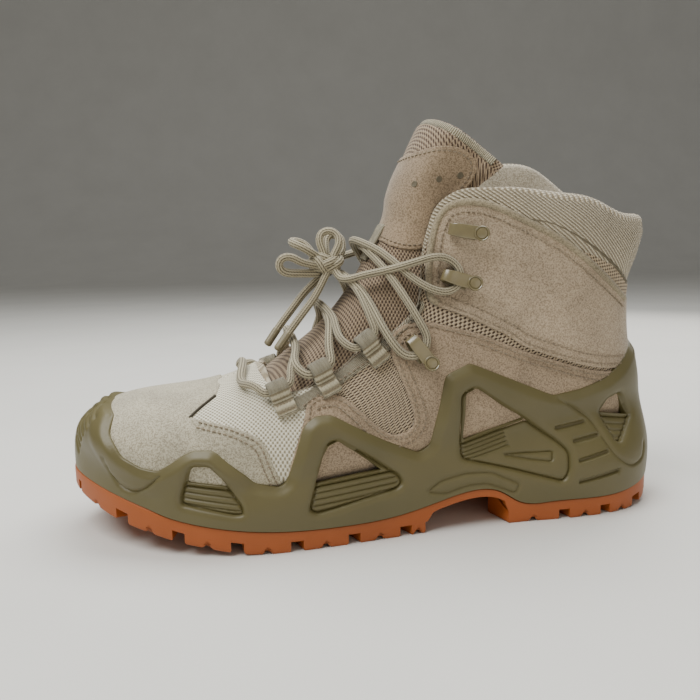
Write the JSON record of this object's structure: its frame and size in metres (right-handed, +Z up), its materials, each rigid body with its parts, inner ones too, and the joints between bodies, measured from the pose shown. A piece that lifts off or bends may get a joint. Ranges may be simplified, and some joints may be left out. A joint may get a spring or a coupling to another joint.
{
  "type": "hiking boot",
  "caption": "Left mid-height hiking boot with a lugged rubber outsole, a moulded side frame, a suede and mesh upper, a padded tongue and laces.",
  "frame": {"origin": "centre of the sole's bounding box, on the ground", "axes": "+X from toe to heel, -Y to the lateral side, +Z up"},
  "size_m": [0.302, 0.1098, 0.198],
  "materials": {
    "gum_rubber": "matt orange-brown gum rubber",
    "moulded_frame": "satin olive polyurethane",
    "suede": "sand suede",
    "insole_cloth": "plain knit lining",
    "mesh_cloth": "coarse woven mesh",
    "hook_metal": "olive enamel",
    "webbing": "ribbed sand webbing",
    "lace_cord": "braided polyester lace"
  },
  "bodies": {
    "root": {"outsole": "gum_rubber", "midsole_frame": "moulded_frame", "upper": "suede", "insole": "insole_cloth", "tongue": "mesh_cloth", "lace_hook_lateral_1": "hook_metal", "lace_hook_lateral_2": "hook_metal", "lace_hook_lateral_3": "hook_metal", "lace_hook_medial_1": "hook_metal", "lace_hook_medial_2": "hook_metal", "lace_hook_medial_3": "hook_metal", "lace_loop_lateral_1": "webbing", "lace_loop_lateral_2": "webbing", "lace_loop_lateral_3": "webbing", "lace_loop_medial_1": "webbing", "lace_loop_medial_2": "webbing", "lace_loop_medial_3": "webbing", "tongue_lace_keeper": "webbing", "lace_crossings": "lace_cord", "lace_knot": "lace_cord", "lace_bow_near_1": "lace_cord", "lace_bow_near_2": "lace_cord", "lace_bow_far_1": "lace_cord", "lace_bow_far_2": "lace_cord", "lace_end_near": "lace_cord", "lace_end_far": "lace_cord"}
  },
  "joints": []
}
